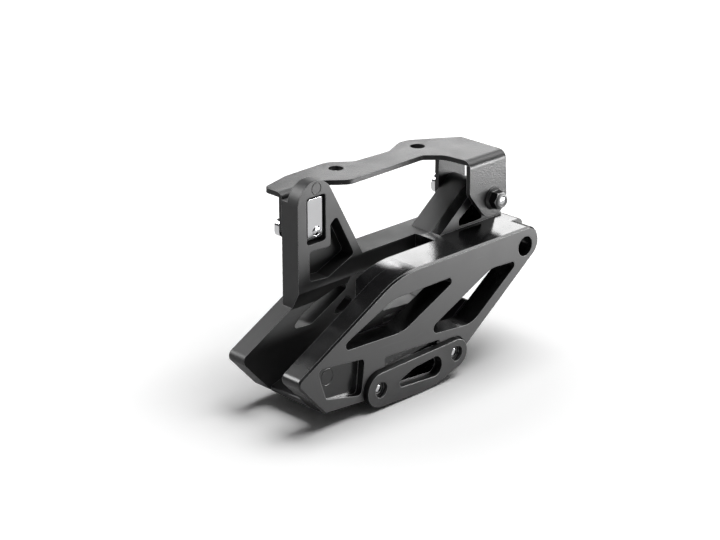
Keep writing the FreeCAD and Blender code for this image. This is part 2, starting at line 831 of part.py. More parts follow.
def make_link_plate():
    """The oval plate on the near wall, with a tapered slot and two sunk, threaded holes."""
    body = new_piece("link_plate")
    face = -d.link_plate_proud
    side_pad(body, "plate_side", link_plate_outline(as_size(0.0)), face, link_plate_back)
    side_cut(body, "plate_slot", link_slot_outline(as_size(0.0)), face, link_plate_back)
    for name, axis in (("front", d.link_front_axis), ("rear", d.link_rear_axis)):
        bore(body, name + "_sink", axis, d.link_sink / 2, face, face + d.link_sink_deep)
        bore(body, name + "_thread", axis, thread_round, face + d.link_sink_deep, link_plate_back)
    return body


def make_bracket():
    """The folded steel bracket: a top plate with two eared holes and three legs turned down."""
    body = new_piece("mounting_bracket")
    low = d.bracket_top - d.bracket_sheet
    plate = [
        Corner((d.bracket_side[0], front_tower_back)),
        Corner((d.bracket_front_knee[0], front_tower_back), d.bracket_round),
        Corner(d.bracket_front_step, d.bracket_waist_round),
        Corner(d.bracket_rear_step, d.bracket_round),
        Corner(d.bracket_arm_knee, d.bracket_waist_round),
        Corner((d.bracket_arm_end[0], near_tab_face)),
        Corner((d.bracket_rear_side[0], near_tab_face)),
        Corner((d.bracket_rear_side[0], rear_tower_back + d.bracket_sheet)),
        Arc(d.bracket_rear_hole, d.bracket_rear_ear),
        Corner(d.bracket_saddle_rear, d.bracket_waist_round),
        Corner(d.bracket_saddle_front, d.bracket_waist_round),
        Arc(d.bracket_front_hole, d.bracket_front_ear),
        Corner(d.bracket_back, d.bracket_waist_round),
        Corner(d.bracket_side, d.bracket_round),
    ]
    plan_pad(body, "bracket_plate", plate, low, d.bracket_top)
    front_leg = [
        Corner((d.bracket_side[0], d.front_axis[1])),
        Arc(d.front_axis, d.front_tab_end),
        Corner((d.bracket_side[0] + d.front_tab_wide, d.bracket_top)),
        Corner((d.bracket_side[0], d.bracket_top)),
    ]
    side_pad(body, "front_leg", front_leg, front_tower_back, front_tower_back + d.bracket_sheet)
    near_leg = [
        Corner(d.near_tab_knee, d.bracket_round),
        Arc(d.rear_axis, d.rear_tab_end),
        Corner((d.bracket_rear_side[0], d.bracket_top)),
        Corner((d.bracket_arm_end[0], d.bracket_top)),
    ]
    side_pad(body, "near_leg", near_leg, near_tab_face, near_tab_face + d.bracket_sheet)
    far_leg = [
        Arc(d.rear_axis, d.rear_tab_end),
        Corner((d.bracket_rear_side[0], d.bracket_top)),
        Corner((d.far_tab_front, d.bracket_top)),
    ]
    side_pad(body, "far_leg", far_leg, rear_tower_back, rear_tower_back + d.bracket_sheet)
    for name, axis, near in (
        ("front", d.front_axis, front_tower_back),
        ("near", d.rear_axis, near_tab_face),
        ("far", d.rear_axis, rear_tower_back),
    ):
        bore(body, name + "_leg_hole", axis, screw_hole_round, near, near + d.bracket_sheet)
    fold_outside(body, "front_fold", front_tower_back, d.bracket_side[0], d.bracket_side[0] + d.front_tab_wide)
    fold_outside(body, "near_fold", near_tab_face, d.bracket_arm_knee[0], d.bracket_rear_side[0] + CLEAR)
    drill(body, "bracket_front_mount", d.bracket_front_hole, d.bracket_hole / 2, d.bracket_top, low)
    drill(body, "bracket_rear_mount", d.bracket_rear_hole, d.bracket_hole / 2, d.bracket_top, low)
    return body


def fold_outside(body, name, face, front, rear):
    """Round the outside of the fold between the top plate and a leg."""
    outside = face - d.bracket_bend
    beyond = face + d.bracket_bend + d.bracket_sheet
    below = d.bracket_top - d.bracket_bend - d.bracket_sheet
    above = d.bracket_top + d.bracket_bend
    turns = [
        Corner((outside, below)),
        Corner((face, below)),
        Corner((face, d.bracket_top), d.bracket_bend),
        Corner((beyond, d.bracket_top)),
        Corner((beyond, above)),
        Corner((outside, above)),
    ]
    sketch = new_sketch(body, name, "YZ_Plane", as_size(front))
    draw_outline(sketch, turns)
    return sink_pocket(body, sketch, as_size(rear) - front, True)


def make_ring(label, centre, outer, inner, near, far):
    """A plain round ring or sleeve along Y."""
    body = new_piece(label)
    rod(body, label + "_ring", centre, outer, near, far)
    bore(body, label + "_hole", centre, inner, near, far)
    return body


def make_screw(label, centre, tip, seat):
    """A flanged hexagon screw whose head is on the far side."""
    body = new_piece(label)
    rod(body, label + "_shank", centre, thread_round, tip, seat)
    rod(body, label + "_flange", centre, d.flange_wide / 2, seat, seat + d.flange_thick)
    top = seat + d.flange_thick + d.hex_high
    side_pad(body, label + "_head", hexagon(centre, d.hex_flats), seat + d.flange_thick, top)
    bevel_edges(body, label + "_point", d.screw_bevel, lambda point: abs(point.y - tip.value) < 1e-6)
    return body


def make_rear_nut():
    """The flanged hexagon nut on the outside of the near leg."""
    body = new_piece("rear_nut")
    flange_face = near_tab_face - d.flange_thick
    rod(body, "nut_flange", d.rear_axis, d.flange_wide / 2, flange_face, near_tab_face)
    side_pad(body, "nut_hexagon", hexagon(d.rear_axis, d.hex_flats), flange_face - d.hex_high, flange_face)
    bore(body, "nut_thread", d.rear_axis, thread_round, flange_face - d.hex_high, near_tab_face)
    return body


def make_nut_plate():
    """The threaded plate in the seat of the front tower."""
    body = new_piece("front_nut_plate")
    turns = box_turns(d.nut_plate_low, d.nut_plate_high, d.nut_plate_round)
    side_pad(body, "nut_plate_side", turns, nut_plate_face, nut_plate_back)
    bore(body, "nut_plate_thread", d.front_axis, thread_round, nut_plate_face, nut_plate_back)
    return body


def make_lock_plate(label, low, high, centre, near):
    """The thick plate between a screw's head and the leg of the bracket."""
    body = new_piece(label)
    turns = box_turns(low, high, d.lock_plate_round)
    side_pad(body, label + "_side", turns, near, near + d.lock_plate_thick)
    bore(body, label + "_hole", centre, screw_hole_round, near, near + d.lock_plate_thick)
    return body


def make_fasteners():
    """Screws, nuts, plates, washers and sleeves, each against the piece that it holds."""
    front_seat = front_lock_face + d.lock_plate_thick
    rear_seat = rear_lock_face + d.lock_plate_thick
    ring_back = near_tab_face - d.flange_thick - d.hex_high
    ring_face = ring_back - d.nut_ring_high
    made = [
        make_screw("front_bolt", d.front_axis, nut_plate_face - d.screw_out, front_seat),
        make_nut_plate(),
        make_lock_plate("front_lock_plate", d.front_lock_low, d.front_lock_high, d.front_axis, front_lock_face),
        make_ring("front_sleeve", d.front_axis, sleeve_round, screw_hole_round, nut_plate_back, front_tower_back),
        make_screw("rear_bolt", d.rear_axis, ring_face - d.screw_out, rear_seat),
        make_rear_nut(),
        make_ring("rear_nut_ring", d.rear_axis, d.nut_ring_wide / 2, thread_round, ring_face, ring_back),
        make_lock_plate("rear_lock_plate", d.rear_lock_low, d.rear_lock_high, d.rear_axis, rear_lock_face),
        make_ring("rear_sleeve", d.rear_axis, sleeve_round, screw_hole_round, rear_boss_face, rear_tower_back),
    ]
    wear_near = d.near_wall + d.side_fit
    wear_far = far_inside - d.side_fit
    link_seat = far_face + d.washer_thick
    for name, axis in (("front", d.link_front_axis), ("rear", d.link_rear_axis)):
        made.append(make_screw("link_bolt_" + name, axis, -d.link_screw_end, link_seat))
        made.append(make_ring("link_washer_" + name, axis, d.washer_wide / 2, screw_hole_round, far_face, link_seat))
        made.append(make_ring("link_sleeve_" + name, axis, sleeve_round, screw_hole_round, wear_near, wear_far))
    return made


def place_on_origin(made):
    """Move every piece so that the origin is below the middle of the whole guide."""
    middle_x = d.roof_end / 2
    middle_y = (d.bracket_front_hole[1] + d.bracket_front_ear - d.link_plate_proud) / 2
    for piece in made:
        piece.setExpression("Placement.Base.x", (-middle_x).formula)
        piece.setExpression("Placement.Base.y", (-middle_y).formula)
    doc.recompute()


def check_model(made):
    """Stop if an object of the document failed or a piece is not a sound single solid."""
    for item in doc.Objects:
        if "Invalid" in item.State or "Error" in item.State:
            raise RuntimeError(f"{item.Name} failed: {item.State}")
    for piece in made:
        shape = piece.Shape
        if shape.isNull() or not shape.isValid() or len(shape.Solids) != 1:
            raise RuntimeError(f"{piece.Label} is not one sound solid")


def write_pieces(made):
    """Write one STEP file for each piece."""
    os.makedirs("parts", exist_ok=True)
    for piece in made:
        piece.Shape.exportStep(os.path.join("parts", piece.Label + ".step"))
        print(f"{piece.Label}: {piece.Shape.Volume:.0f} mm3")


pieces = [
    make_guide_body(),
    make_wear_block(),
    make_link_plate(),
    make_bracket(),
]
pieces += make_fasteners()
place_on_origin(pieces)
check_model(pieces)
write_pieces(pieces)
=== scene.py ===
"""Looks of a moulded motorcycle chain guide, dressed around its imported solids."""

import logging
import math
from dataclasses import dataclass, field
from enum import Enum
from typing import Callable, ClassVar, Iterable, Sequence

import bmesh
import bpy
from mathutils import Matrix, Vector


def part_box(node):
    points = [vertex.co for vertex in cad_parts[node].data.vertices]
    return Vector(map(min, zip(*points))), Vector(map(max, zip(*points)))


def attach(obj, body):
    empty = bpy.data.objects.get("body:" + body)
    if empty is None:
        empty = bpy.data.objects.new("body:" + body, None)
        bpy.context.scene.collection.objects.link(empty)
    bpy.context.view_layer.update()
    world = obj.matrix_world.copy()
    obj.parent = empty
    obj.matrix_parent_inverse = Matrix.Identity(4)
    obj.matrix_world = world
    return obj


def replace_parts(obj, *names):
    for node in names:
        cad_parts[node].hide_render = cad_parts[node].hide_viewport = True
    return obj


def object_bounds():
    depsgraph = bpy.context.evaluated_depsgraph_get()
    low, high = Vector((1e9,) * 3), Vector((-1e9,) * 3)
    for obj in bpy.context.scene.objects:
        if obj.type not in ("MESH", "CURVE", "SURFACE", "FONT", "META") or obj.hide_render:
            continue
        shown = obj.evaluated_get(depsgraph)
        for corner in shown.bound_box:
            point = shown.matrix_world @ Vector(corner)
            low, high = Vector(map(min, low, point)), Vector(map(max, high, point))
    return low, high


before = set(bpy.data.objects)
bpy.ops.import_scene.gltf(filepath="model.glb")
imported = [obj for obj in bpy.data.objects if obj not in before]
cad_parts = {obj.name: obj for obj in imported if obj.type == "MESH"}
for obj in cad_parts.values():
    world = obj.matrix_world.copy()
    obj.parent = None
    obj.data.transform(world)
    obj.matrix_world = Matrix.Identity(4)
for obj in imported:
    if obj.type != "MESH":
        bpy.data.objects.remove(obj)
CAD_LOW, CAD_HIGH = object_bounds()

log = logging.getLogger("chain_guide")

MM = 0.001
BODY = "root"

# Drawing zero of the part's source, seen from the frame's origin, in millimetres
DRAWING_ZERO = Vector((-100.0, -36.5, 0.0))

Ring = list[Vector]
Pair = tuple[float, float]
Profile = tuple[Pair, ...]
Triple = tuple[float, float, float]
Colour = tuple[float, float, float]
Socket = bpy.types.NodeSocket

WHITE: Colour = (1.0, 1.0, 1.0)
BLACK: Colour = (0.0085, 0.0085, 0.009)
GREY_LINE: Colour = (0.075, 0.075, 0.077)
# Painted highlight: the light colour laid along rounded edges where they would catch the lamps
EDGE_HIGHLIGHT: Colour = (0.3, 0.3, 0.305)


def place(x: float, y: float, z: float) -> Vector:
    """A point of the drawing, in millimetres, as a point of the frame in metres."""
    return (Vector((x, y, z)) + DRAWING_ZERO) * MM


class Slot(Enum):
    """Material slots of the record."""

    BLACK_PLASTIC = "black_plastic"
    WEAR_PLASTIC = "wear_plastic"
    PLATE_PLASTIC = "plate_plastic"
    COATED_STEEL = "coated_steel"
    ZINC_STEEL = "zinc_steel"
    BLACK_STEEL = "black_steel"
    NYLON = "nylon"


class Grain(Enum):
    """How the fine relief of a finish runs."""

    CRUMBLED = "crumbled"
    BRUSHED = "brushed"
    PEBBLED = "pebbled"


class Facing(Enum):
    """The wall that a piece along the Y axis points to, as the sign of its turn."""

    FAR = -1
    NEAR = 1


class NodeKit:
    """Adds and joins the nodes of one node tree."""

    def __init__(self, tree: bpy.types.NodeTree) -> None:
        """Keep the node tree of a material, a world or a group."""
        self.tree = tree

    def add(self, kind: str, **settings: object) -> bpy.types.Node:
        """Add a node.

        Args:
            kind: Blender's name of the node's type.
            settings: Attributes of the node.

        Returns:
            The new node.
        """
        node = self.tree.nodes.new(kind)
        for name, value in settings.items():
            setattr(node, name, value)
        return node

    def group(self, tree: bpy.types.NodeTree, values: dict[str, float]) -> bpy.types.Node:
        """Add a node group with its own values.

        Args:
            tree: The group's tree.
            values: Name and value of each input that is set.

        Returns:
            The new node.
        """
        node = self.add("ShaderNodeGroup", node_tree=tree)
        for label, value in values.items():
            node.inputs[label].default_value = value
        return node

    def join(self, source: Socket, target: Socket) -> None:
        """Link an output to an input."""
        self.tree.links.new(source, target)

    def math(self, operation: str, first: Socket | float, second: Socket | float) -> Socket:
        """Add a sum on two values, without a clamp.

        Args:
            operation: Name of the sum, such as MULTIPLY.
            first: A socket or a plain number.
            second: A socket or a plain number.

        Returns:
            The output socket.
        """
        node = self.add("ShaderNodeMath", operation=operation)
        for socket, value in zip(node.inputs, (first, second)):
            if isinstance(value, bpy.types.NodeSocket):
                self.join(value, socket)
            else:
                socket.default_value = value
        return node.outputs[0]

    def mix_colours(self, share: Socket, *colours: Socket | Colour) -> Socket:
        """Mix two colours.

        Args:
            share: How much of the second colour there is, from 0 to 1.
            colours: The first and second colour, each a socket or three numbers.

        Returns:
            The output socket.
        """
        node = self.add("ShaderNodeMix", data_type="RGBA")
        for label, colour in zip(("A", "B"), colours):
            socket = next(item for item in node.inputs if item.name == label and item.type == "RGBA")
            if isinstance(colour, bpy.types.NodeSocket):
                self.join(colour, socket)
            else:
                socket.default_value = (*colour, 1.0)
        self.join(share, node.inputs["Factor"])
        return node.outputs["Result"]

    def ramp(self, value: Socket, span: Pair) -> Socket:
        """Spread a value from one range to 0 and 1, clamped.

        Args:
            value: The socket that is spread.
            span: The value that becomes 0 and the value that becomes 1.

        Returns:
            The output socket.
        """
        node = self.add("ShaderNodeMapRange")
        self.join(value, node.inputs["Value"])
        for label, limit in zip(("From Min", "From Max"), span):
            node.inputs[label].default_value = limit
        return node.outputs["Result"]


GroupParts = tuple[NodeKit, bpy.types.Node, bpy.types.Node]


class EffectGroups:
    """Node groups that the finishes share. Lengths are in metres."""

    # Relief: its two noises, and the values of the coarse one that bound the mottle
    FINE_DETAIL: float = 4.0
    FINE_ROUGHNESS: float = 0.62
    COARSE_DETAIL: float = 3.0
    COARSE_SHARE: float = 0.6
    MOTTLE_SPAN: Pair = (0.3, 0.7)
    # Edge highlight: the bevel of the rounded edges, and the noise that breaks the painted highlight line
    BEVEL_SAMPLES: int = 6
    PATCH_SCALE: float = 140.0
    PATCH_DETAIL: float = 5.0
    PATCH_SPAN: Pair = (0.25, 0.6)
    # Scratches: their direction in radians, and how much finer they are across
    SCRATCH_TURN: Triple = (0.5, 0.7, 0.9)
    SCRATCH_STRETCH: Triple = (1.0, 9.0, 9.0)
    SCRATCH_DETAIL: float = 6.0
    SCRATCH_SPAN: Pair = (0.62, 0.72)
    # Satin faces: how square they are to the width, how far past the far side, and where on X
    SQUARE_SPAN: Pair = (0.9975, 0.9995)
    FAR_SIDE_SPAN: Pair = (0.0, 0.004)
    NOSE_SPAN: Pair = (-0.083, -0.093)
    NOSE_SHARE: float = 0.45

    def __init__(self) -> None:
        """Build every group once."""
        self.relief = self.make_relief()
        self.edge_highlight = self.make_edge_highlight()
        self.scuffs = self.make_scuffs()
        self.mould_gloss = self.make_mould_gloss()

    @staticmethod
    def start(name: str, inputs: dict[str, float], outputs: dict[str, str]) -> GroupParts:
        """Make an empty group with named sockets.

        Args:
            name: The group's name.
            inputs: Name and first value of each number that goes in.
            outputs: Name and socket type of each value that comes out.
        """
        tree = bpy.data.node_groups.new(name, "ShaderNodeTree")
        for label, value in inputs.items():
            socket = tree.interface.new_socket(name=label, in_out="INPUT", socket_type="NodeSocketFloat")
            socket.default_value = value
        for label, kind in outputs.items():
            tree.interface.new_socket(name=label, in_out="OUTPUT", socket_type=kind)
        kit = NodeKit(tree)
        return kit, kit.add("NodeGroupInput"), kit.add("NodeGroupOutput")

    def make_relief(self) -> bpy.types.NodeTree:
        """Fine and coarse relief of a surface.

        Returns:
            A group with the outputs Height and Mottle.
        """
        kit, given, result = self.start(
            "surface_relief",
            {"Fine Scale": 900.0, "Coarse Scale": 60.0, "Stretch": 1.0},
            {"Height": "NodeSocketFloat", "Mottle": "NodeSocketFloat"},
        )
        where = kit.add("ShaderNodeTexCoord")
        stretch = kit.add("ShaderNodeCombineXYZ")
        stretch.inputs["X"].default_value = 1.0
        stretch.inputs["Z"].default_value = 1.0
        kit.join(given.outputs["Stretch"], stretch.inputs["Y"])
        scaled = kit.add("ShaderNodeVectorMath", operation="MULTIPLY")
        kit.join(where.outputs["Object"], scaled.inputs[0])
        kit.join(stretch.outputs[0], scaled.inputs[1])
        fine = kit.add("ShaderNodeTexNoise")
        fine.inputs["Detail"].default_value = self.FINE_DETAIL
        fine.inputs["Roughness"].default_value = self.FINE_ROUGHNESS
        coarse = kit.add("ShaderNodeTexNoise")
        coarse.inputs["Detail"].default_value = self.COARSE_DETAIL
        for node, label in ((fine, "Fine Scale"), (coarse, "Coarse Scale")):
            kit.join(scaled.outputs[0], node.inputs["Vector"])
            kit.join(given.outputs[label], node.inputs["Scale"])
        swell = kit.math("MULTIPLY", coarse.outputs["Fac"], self.COARSE_SHARE)
        kit.join(kit.math("ADD", fine.outputs["Fac"], swell), result.inputs["Height"])
        kit.join(kit.ramp(coarse.outputs["Fac"], self.MOTTLE_SPAN), result.inputs["Mottle"])
        return kit.tree

    def make_edge_highlight(self) -> bpy.types.NodeTree:
        """Rounded edges, and a painted highlight line along them where the rounding would catch the lamps.

        Returns:
            A group with the outputs Mask and Normal.
        """
        kit, given, result = self.start(
            "edge_highlight",
            {"Radius": 0.0006, "Gain": 3.0},
            {"Mask": "NodeSocketFloat", "Normal": "NodeSocketVector"},
        )
        bevel = kit.add("ShaderNodeBevel", samples=self.BEVEL_SAMPLES)
        kit.join(given.outputs["Radius"], bevel.inputs["Radius"])
        flat = kit.add("ShaderNodeNewGeometry")
        alike = kit.add("ShaderNodeVectorMath", operation="DOT_PRODUCT")
        kit.join(bevel.outputs["Normal"], alike.inputs[0])
        kit.join(flat.outputs["Normal"], alike.inputs[1])
        turned = kit.math("SUBTRACT", 1.0, alike.outputs["Value"])
        patchy = kit.add("ShaderNodeTexNoise")
        patchy.inputs["Scale"].default_value = self.PATCH_SCALE
        patchy.inputs["Detail"].default_value = self.PATCH_DETAIL
        where = kit.add("ShaderNodeTexCoord")
        kit.join(where.outputs["Object"], patchy.inputs["Vector"])
        # Painted highlight mask: strongest where the bevel turns the normal, broken up by noise
        strong = kit.math("MULTIPLY", turned, given.outputs["Gain"])
        mask = kit.math("MULTIPLY", strong, kit.ramp(patchy.outputs["Fac"], self.PATCH_SPAN))
        kit.join(kit.math("MINIMUM", mask, 1.0), result.inputs["Mask"])
        kit.join(bevel.outputs["Normal"], result.inputs["Normal"])
        return kit.tree

    def make_scuffs(self) -> bpy.types.NodeTree:
        """Sparse short scratches from handling.

        Returns:
            A group with the output Mask.
        """
        kit, given, result = self.start(
            "handling_scuffs", {"Scale": 55.0, "Amount": 0.5}, {"Mask": "NodeSocketFloat"}
        )
        where = kit.add("ShaderNodeTexCoord")
        turned = kit.add("ShaderNodeMapping")
        turned.inputs["Rotation"].default_value = self.SCRATCH_TURN
        turned.inputs["Scale"].default_value = self.SCRATCH_STRETCH
        kit.join(where.outputs["Object"], turned.inputs["Vector"])
        lines = kit.add("ShaderNodeTexNoise")
        lines.inputs["Detail"].default_value = self.SCRATCH_DETAIL
        kit.join(turned.outputs[0], lines.inputs["Vector"])
        kit.join(given.outputs["Scale"], lines.inputs["Scale"])
        spread = kit.ramp(lines.outputs["Fac"], self.SCRATCH_SPAN)
        kit.join(kit.math("MULTIPLY", spread, given.outputs["Amount"]), result.inputs["Mask"])
        return kit.tree

    def make_mould_gloss(self) -> bpy.types.NodeTree:
        """Where the mould leaves satin faces: those square to the width, the nose and the far side.

        Returns:
            A group with the output Mask, which is 1 where a face is satin and less at the nose.
        """
        kit, given, result = self.start("mould_gloss", {"Far Side": -0.003}, {"Mask": "NodeSocketFloat"})
        surface = kit.add("ShaderNodeNewGeometry")
        parts = kit.add("ShaderNodeSeparateXYZ")
        kit.join(surface.outputs["True Normal"], parts.inputs[0])
        square = kit.ramp(kit.math("ABSOLUTE", parts.outputs["Y"], 0.0), self.SQUARE_SPAN)
        where = kit.add("ShaderNodeTexCoord")
        spot = kit.add("ShaderNodeSeparateXYZ")
        kit.join(where.outputs["Object"], spot.inputs[0])
        past = kit.math("SUBTRACT", spot.outputs["Y"], given.outputs["Far Side"])
        beyond = kit.ramp(past, self.FAR_SIDE_SPAN)
        nose = kit.math("MULTIPLY", kit.ramp(spot.outputs["X"], self.NOSE_SPAN), self.NOSE_SHARE)
        satin = kit.math("MAXIMUM", kit.math("MAXIMUM", square, beyond), nose)
        kit.join(satin, result.inputs["Mask"])
        return kit.tree


@dataclass(frozen=True)
class Finish:
    """One surface finish of the guide, with its colour, gloss and relief. Lengths are in metres."""

    BRUSHED_STRETCH: ClassVar[float] = 8.0
    BEADS_TO_GRAIN: ClassVar[float] = 1.4
    SCUFF_ROUGHENS: ClassVar[float] = 0.1
    EVEN_MOTTLE: ClassVar[float] = 0.5

    name: str
    colour: Colour
    roughness: float
    light_colour: Colour = GREY_LINE
    # Colour and strength of the painted highlight along rounded edges
    edge_highlight_colour: Colour = EDGE_HIGHLIGHT
    satin_roughness: float | None = None
    roughness_spread: float = 0.08
    metallic: float = 0.0
    specular: float = 0.5
    grain: Grain = Grain.CRUMBLED
    fine_scale: float = 900.0
    coarse_scale: float = 60.0
    relief: float = 0.00002
    edge_radius: float = 0.0006
    edge_highlight_gain: float = 7.0
    scuff_scale: float = 55.0
    scuffs: float = 0.3

    def stretch(self) -> float:
        """How much finer the relief is across the guide than along it."""
        return self.BRUSHED_STRETCH if self.grain is Grain.BRUSHED else 1.0

    def material(self, groups: EffectGroups) -> bpy.types.Material:
        """Build the finish.

        Args:
            groups: The shared node groups.

        Returns:
            The finished material.
        """
        material = bpy.data.materials.new(self.name)
        material.use_nodes = True
        kit = NodeKit(material.node_tree)
        shader = material.node_tree.nodes["Principled BSDF"]
        shader.inputs["Metallic"].default_value = self.metallic
        shader.inputs["Specular IOR Level"].default_value = self.specular
        relief = kit.group(
            groups.relief,
            {"Fine Scale": self.fine_scale, "Coarse Scale": self.coarse_scale, "Stretch": self.stretch()},
        )
        edge = kit.group(groups.edge_highlight, {"Radius": self.edge_radius, "Gain": self.edge_highlight_gain})
        scuffs = kit.group(groups.scuffs, {"Scale": self.scuff_scale, "Amount": self.scuffs})
        marked = kit.mix_colours(scuffs.outputs["Mask"], self.colour, self.light_colour)
        # Painted highlight: the edge mask lightens the colour along rounded edges
        edge_highlighted = kit.mix_colours(edge.outputs["Mask"], marked, self.edge_highlight_colour)
        kit.join(edge_highlighted, shader.inputs["Base Color"])
        base = self.base_roughness(kit, groups)
        mottle = kit.math("SUBTRACT", relief.outputs["Mottle"], self.EVEN_MOTTLE)
        uneven = kit.math("MULTIPLY", mottle, self.roughness_spread)
        rubbed = kit.math("MULTIPLY", scuffs.outputs["Mask"], self.SCUFF_ROUGHENS)
        rough = kit.math("ADD", kit.math("ADD", uneven, base), rubbed)
        kit.join(rough, shader.inputs["Roughness"])
        bump = kit.add("ShaderNodeBump")
        bump.inputs["Strength"].default_value = 1.0
        bump.inputs["Distance"].default_value = self.relief
        height = relief.outputs["Height"]
        if self.grain is Grain.PEBBLED:
            height = kit.math("ADD", height, self.pebbles(kit))
        kit.join(height, bump.inputs["Height"])
        kit.join(edge.outputs["Normal"], bump.inputs["Normal"])
        kit.join(bump.outputs["Normal"], shader.inputs["Normal"])
        return material

    def base_roughness(self, kit: NodeKit, groups: EffectGroups) -> Socket | float:
        """Roughness before unevenness and scuffs.

        Args:
            groups: The shared node groups.

        Returns:
            One number, or a socket where the mould leaves satin faces beside glossy ones.
        """
        if self.satin_roughness is None:
            return self.roughness
        faces = kit.group(groups.mould_gloss, {})
        change = kit.math("MULTIPLY", faces.outputs["Mask"], self.satin_roughness - self.roughness)
        return kit.math("ADD", change, self.roughness)

    def pebbles(self, kit: NodeKit) -> Socket:
        """Round beads of a textured powder coat.


        Returns:
            The beads' height.
        """
        where = kit.add("ShaderNodeTexCoord")
        beads = kit.add("ShaderNodeTexVoronoi", feature="SMOOTH_F1")
        beads.inputs["Scale"].default_value = self.fine_scale * self.BEADS_TO_GRAIN
        kit.join(where.outputs["Object"], beads.inputs["Vector"])
        return kit.math("SUBTRACT", 1.0, beads.outputs["Distance"])


# Each finish's edge colour is a painted highlight along its rounded edges
FINISHES: dict[Slot, Finish] = {
    Slot.BLACK_PLASTIC: Finish(
        "moulded_black_nylon",
        BLACK,
        roughness=0.16,
        satin_roughness=0.52,
        relief=0.000025,
        fine_scale=1500.0,
        scuffs=0.1,
    ),
    Slot.WEAR_PLASTIC: Finish(
        "rubbed_wear_block",
        BLACK,
        roughness=0.34,
        grain=Grain.BRUSHED,
        fine_scale=500.0,
        scuffs=0.5,
    ),
    Slot.PLATE_PLASTIC: Finish(
        "fine_satin_plate",
        (0.012, 0.012, 0.0125),
        roughness=0.34,
        specular=0.65,
        relief=0.000012,
        fine_scale=1800.0,
        scuffs=0.1,
    ),
    Slot.COATED_STEEL: Finish(
        "textured_powder_coat",
        (0.014, 0.014, 0.0145),
        roughness=0.34,
        grain=Grain.PEBBLED,
        fine_scale=1000.0,
        relief=0.00008,
        specular=0.31,
        edge_radius=0.0005,
        scuffs=0.0,
    ),
    Slot.ZINC_STEEL: Finish(
        "bright_zinc_plating",
        (0.66, 0.66, 0.67),
        light_colour=(0.75, 0.75, 0.75),
        edge_highlight_colour=(0.85, 0.85, 0.85),
        roughness=0.08,
        metallic=1.0,
        grain=Grain.BRUSHED,
        fine_scale=700.0,
        relief=0.000002,
        edge_radius=0.0003,
        edge_highlight_gain=1.0,
        scuffs=0.2,
    ),
    Slot.BLACK_STEEL: Finish(
        "black_oxide",
        (0.04, 0.04, 0.04),
        light_colour=(0.12, 0.12, 0.12),
        edge_highlight_colour=(0.4, 0.4, 0.4),
        roughness=0.38,
        metallic=0.9,
        fine_scale=1600.0,
        relief=0.000008,
        edge_radius=0.0003,
        edge_highlight_gain=8.0,
        scuffs=0.1,
    ),
    Slot.NYLON: Finish(
        "grey_nylon_ring",
        (0.28, 0.28, 0.28),
        light_colour=(0.2, 0.2, 0.2),
        edge_highlight_colour=(0.35, 0.35, 0.35),
        roughness=0.45,
        relief=0.00001,
        edge_radius=0.0003,
    ),
}


class Wardrobe:
    """The finished materials, one for each slot of the record."""

    def __init__(self) -> None:
        """Build the shared groups and every finish."""
        groups = EffectGroups()
        self.materials = {slot: finish.material(groups) for slot, finish in FINISHES.items()}

    def dress_node(self, node: str, slot: Slot) -> None:
        """Give a node of the frame its finish."""
        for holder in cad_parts[node].material_slots:
            holder.material = self.materials[slot]

    def dress_piece(self, piece: bpy.types.Object, slot: Slot) -> bpy.types.Object:
        """Give a new piece its finish, its slot and its body.

        Args:
            piece: The new piece.
            slot: Its material slot.

        Returns:
            The same piece.
        """
        piece.data.materials.clear()
        piece.data.materials.append(self.materials[slot])
        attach(piece, BODY)
        return piece


def circle_ring(radius: float | Callable[[float], float], height: float, count: int) -> Ring:
    """Points round the Z axis.

    Args:
        radius: Radius in millimetres, or a function that gives it at an angle.
        height: Height in millimetres.
        count: Number of points.

    Returns:
        The points, in metres.
    """
    points = []
    for index in range(count):
        angle = 2 * math.pi * index / count
        reach = radius(angle) if callable(radius) else radius
        points.append(Vector((reach * math.cos(angle), reach * math.sin(angle), height)) * MM)
    return points


def flange_rings(profile: Profile, radius: float, seat: float, count: int) -> list[Ring]:
    """Rings of a flange, one for each change of its radius and rise over its seat, in millimetres."""
    return [circle_ring(radius + change, seat + rise, count) for change, rise in profile]


def skin(name: str, rings: Sequence[Ring], closed: bool = False, smooth: float = 35.0) -> bpy.types.Object:
    """A mesh over a stack of rings.

    Args:
        name: Name of the object.
        rings: Rings of equal count, in order.
        closed: Whether the last ring joins the first, as in a washer. Otherwise both ends are capped.
        smooth: Edges that turn less than this angle, in degrees, are shaded smooth.

    Returns:
        The new object.
    """
    mesh = bmesh.new()
    stacks = [[mesh.verts.new(point) for point in ring] for ring in rings]
    pairs = list(zip(stacks, stacks[1:]))
    if closed:
        pairs.append((stacks[-1], stacks[0]))
    count = len(stacks[0])
    for lower, upper in pairs:
        for index in range(count):
            after = (index + 1) % count
            mesh.faces.new((lower[index], lower[after], upper[after], upper[index]))
    if not closed:
        mesh.faces.new(stacks[0][::-1])
        mesh.faces.new(stacks[-1])
    bmesh.ops.recalc_face_normals(mesh, faces=mesh.faces)
    data = bpy.data.meshes.new(name)
    mesh.to_mesh(data)
    mesh.free()
    data.shade_smooth()
    data.set_sharp_from_angle(angle=math.radians(smooth))
    piece = bpy.data.objects.new(name, data)
    bpy.context.scene.collection.objects.link(piece)
    return piece


def lay_along_y(piece: bpy.types.Object, start: Vector, facing: Facing) -> None:
    """Turn a piece made along Z so that it runs along Y from a point, with its top to one wall."""
    turn = Matrix.Rotation(facing.value * math.pi / 2, 4, "X")
    piece.data.transform(Matrix.Translation(start) @ turn)


